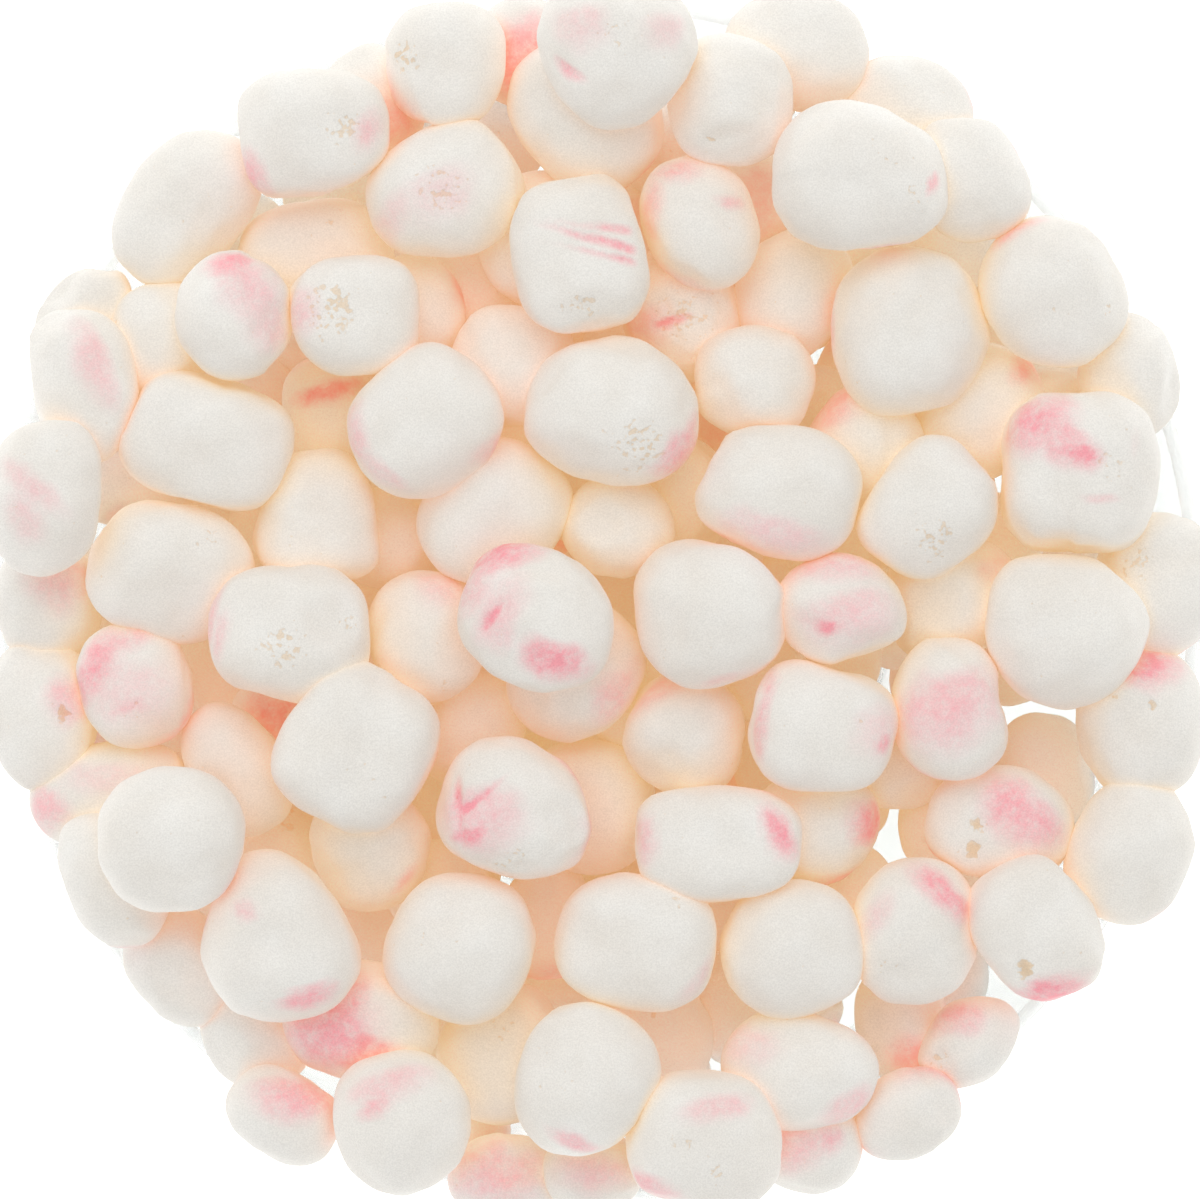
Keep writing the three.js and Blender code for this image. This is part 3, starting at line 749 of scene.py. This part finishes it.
def open_bubbles(tree, coords, pits):
    """Holes with ragged edges where the mask is, and how strongly each is tinted inside: partly the
    beige of open foam, partly painted shade that deepens in deeper craters.
    """
    rough = add(tree, "TexNoise", inputs={
        "Vector": coords, "Scale": 1 / (BUBBLE_SIZE * MM), "Detail": 1.5}).outputs["Fac"]
    holed = add(tree, "Math", {"operation": "MULTIPLY_ADD"}, {0: pits, 1: 0.23, 2: rough})
    holes = add(tree, "MapRange", {"interpolation_type": "SMOOTHSTEP"}, {
        "Value": holed.outputs[0], "From Min": 0.74, "From Max": 0.84}).outputs["Result"]
    depth = add(tree, "MapRange", inputs={
        "Value": pits, "From Min": 0.6, "From Max": 1.8, "To Min": 0.5, "To Max": 1.0})
    shade = add(tree, "Math", {"operation": "MULTIPLY"}, {0: holes, 1: depth.outputs["Result"]})
    return holes, shade.outputs[0]


def painted_crevice_glow(tree, openness, pinkness):
    """Painted glow: emission, red furthest, that stands in for light through the sugar foam, so that
    the gaps glow peach.
    """
    glow = add(tree, "ValToRGB", inputs={"Fac": openness})
    ramp = glow.color_ramp
    for _ in PAINTED_GLOW_STOPS[2:]:
        ramp.elements.new(0.5)
    for element, (place, light) in zip(ramp.elements, PAINTED_GLOW_STOPS):
        element.position = place
        element.color = (*light, 1)
    glow_pink = add(tree, "MixRGB", {"blend_type": "MULTIPLY"}, {
        "Fac": pinkness, "Color1": glow.outputs["Color"], "Color2": linear("#FFC0E0")})
    return glow_pink.outputs["Color"]


def aerated_sugar():
    """Boiled sugar puffed up by freeze-drying: a chalky, dry skin of tiny sugar grains.

    It is white where light falls on it, and pink where the coloured ribbon of the sweet comes
    through. Where puffs crowd together it carries painted light: a warm peach tint and an emitted
    glow, standing in for light that passes through the foam and bounces between the puffs."""
    material, tree = new_material("aerated_sugar")
    # Its painted glow is too dim for rays to be aimed at each face: it looks the same found by
    # chance.
    material.cycles.emission_sampling = "NONE"
    coords = add(tree, "TexCoord").outputs["Object"]
    openness = add(tree, "Attribute", {"attribute_name": "open"}).outputs["Fac"]
    pink = add(tree, "Attribute", {"attribute_name": "pink"}).outputs["Fac"]
    pits = add(tree, "Attribute", {"attribute_name": "pits"}).outputs["Fac"]
    # Painted light: the less open a place, the more the skin and dye take a warm peach tint.
    crevice_light_mask = add(tree, "MapRange", inputs={
        "Value": openness, "From Min": 0.75, "From Max": 0.1}).outputs["Result"]

    pinkness = ribbon_strength(tree, coords, pink)
    # The dye's own pink, turned salmon by painted crevice light where puffs crowd.
    dye_and_crevice_light = add(tree, "MixRGB", inputs={
        "Fac": crevice_light_mask, "Color1": linear("#FBA9B2"), "Color2": linear("#F9AC9C")})
    ribbon = add(tree, "MixRGB", inputs={
        "Fac": pinkness, "Color1": skin_colour(tree, coords, crevice_light_mask),
        "Color2": dye_and_crevice_light.outputs["Color"]})
    holes, shade = open_bubbles(tree, coords, pits)
    # The holes take the beige of the open foam, with painted shade that grows in the deeper craters.
    bubbled = add(tree, "MixRGB", {"blend_type": "MULTIPLY"}, {
        "Fac": shade, "Color1": ribbon.outputs["Color"], "Color2": linear("#F9E3C9")})
    grains = add(tree, "TexNoise", inputs={
        "Vector": coords, "Scale": 1 / (GRAIN_SIZE * MM), "Detail": 1.0}).outputs["Fac"]
    grain_tone = add(tree, "MapRange", inputs={
        "Value": grains, "From Min": 0.3, "From Max": 0.72, "To Min": 0.94, "To Max": 1.07})
    colour = add(tree, "MixRGB", {"blend_type": "MULTIPLY"}, {
        "Fac": 1.0, "Color1": bubbled.outputs["Color"], "Color2": grain_tone.outputs["Result"]})

    relief = add(tree, "Math", {"operation": "MULTIPLY_ADD"}, {0: holes, 1: -2.0, 2: grains})
    bump = add(tree, "Bump", inputs={
        "Strength": 0.45, "Distance": GRAIN_HEIGHT * MM, "Height": relief.outputs[0]})
    # Painted glow: the skin emits light in the gaps between puffs, though the sugar is no lamp.
    shader = add(tree, "BsdfPrincipled", inputs={
        "Base Color": colour.outputs["Color"], "Roughness": 0.85, "Specular IOR Level": 0.2,
        "Emission Color": painted_crevice_glow(tree, openness, pinkness), "Emission Strength": 1.0,
        "Normal": bump.outputs["Normal"]})
    finish_material(tree, shader.outputs[0])
    return material


TABLE_GLOW = 0.67         # the table's own light, so that it goes white in the gaps too


def studio_paper():
    """A lit white table: matt, and so bright that the background goes pure white."""
    material, tree = new_material("studio_paper")
    shader = add(tree, "BsdfPrincipled", inputs={
        "Base Color": linear("#F4F4F3"), "Roughness": 0.9, "Specular IOR Level": 0.1,
        "Emission Color": linear("#FFFFFF"), "Emission Strength": TABLE_GLOW})
    finish_material(tree, shader.outputs[0])
    return material


# ---------------------------------------------------------------- the studio
CAMERA_HEIGHT = 3000.0    # above the floor; the view is straight down
VIEW_LEVEL = 88.0         # the height that the framing is worked out for
VIEW_WIDTH = 251.0        # width that the picture takes in at that height
SENSOR = 36.0
CLIP_END = 20.0           # metres
KEY_SIZE = 1500.0
KEY_PLACE = (-150.0, 900.0, 1500.0)
KEY_POWER = 7.0
WORLD_STRENGTH = 0.765
GLASS_BOUNCES = 16        # through both walls of the glass and the puffs between
SUGAR_BOUNCES = 4         # fewer would leave the gaps between puffs too dark
NOISE_THRESHOLD = 0.1     # the grain of the skin hides noise below this
FLOOR_SIZE = 8000.0
FLOOR_DROP = 0.2          # how far the table lies under the bowl's foot, so that they don't meet


def make_camera():
    """A long lens straight above the middle of the heap."""
    camera = bpy.data.cameras.new("camera")
    camera.sensor_width = SENSOR
    camera.lens = SENSOR * (CAMERA_HEIGHT - VIEW_LEVEL) / VIEW_WIDTH
    camera.clip_end = CLIP_END
    made = bpy.data.objects.new("camera", camera)
    made.location = (0, 0, CAMERA_HEIGHT * MM)
    bpy.context.scene.collection.objects.link(made)
    bpy.context.scene.camera = made


def make_key_light():
    """A broad soft light beyond the top of the picture, as a window would be."""
    light = bpy.data.lights.new("key", "AREA")
    light.shape = "DISK"
    light.size = KEY_SIZE * MM
    light.energy = KEY_POWER
    light.color = linear("#FFFDFA")[:3]
    made = bpy.data.objects.new("key", light)
    made.location = Vector(KEY_PLACE) * MM
    made.rotation_euler = (-made.location).to_track_quat("-Z", "Y").to_euler()
    bpy.context.scene.collection.objects.link(made)


def make_world():
    """White light from all round, and enough bounces for the glass and the gaps."""
    world = bpy.data.worlds.new("studio")
    world.use_nodes = True
    background = world.node_tree.nodes["Background"]
    background.inputs["Color"].default_value = linear("#FFFFFF")
    background.inputs["Strength"].default_value = WORLD_STRENGTH
    bpy.context.scene.world = world
    bpy.context.scene.view_settings.view_transform = "Standard"
    cycles = bpy.context.scene.cycles
    cycles.max_bounces = cycles.transmission_bounces = GLASS_BOUNCES
    cycles.diffuse_bounces = SUGAR_BOUNCES
    cycles.adaptive_threshold = NOISE_THRESHOLD


def make_floor():
    """The table, which is no part of the object."""
    bm = bmesh.new()
    bmesh.ops.create_grid(bm, x_segments=1, y_segments=1, size=FLOOR_SIZE / 2)
    bmesh.ops.translate(bm, verts=bm.verts, vec=(0, 0, -FLOOR_DROP))
    floor = new_object("floor", bm, smooth=False)
    floor.data.materials.append(studio_paper())


# ---------------------------------------------------------------- the object
def main():
    """Four layers of puffs, buried to top, in one glass bowl."""
    draw = random.Random(SEED)
    noise.seed_set(SEED)  # noise vectors differ from run to run without it
    shown = shown_puffs(draw)
    buried = buried_puffs(draw)
    give_marks(shown)
    give_hidden_marks(shown, draw, lowest_only=True)
    give_hidden_marks(buried, draw, lowest_only=False)
    layers = [[puff for puff in shown if puff.layer == layer] for layer in range(3)]
    pieces = [
        make_puffs("buried_puffs", buried, BURIED_CUTS),
        make_puffs("low_puffs", layers[0], LOW_CUTS),
        make_puffs("middle_puffs", layers[1], MIDDLE_CUTS),
        make_puffs("top_puffs", layers[2], TOP_CUTS),
    ]
    keep_openness(pieces)
    sugar = aerated_sugar()
    for piece in pieces:
        piece.data.materials.append(sugar)
        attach(piece, "root")
        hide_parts("taffy_heap")
    bowl = make_bowl()
    bowl.data.materials.append(pressed_glass())
    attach(bowl, "root")
    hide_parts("bowl")


make_camera()
make_world()
make_key_light()
make_floor()
main()
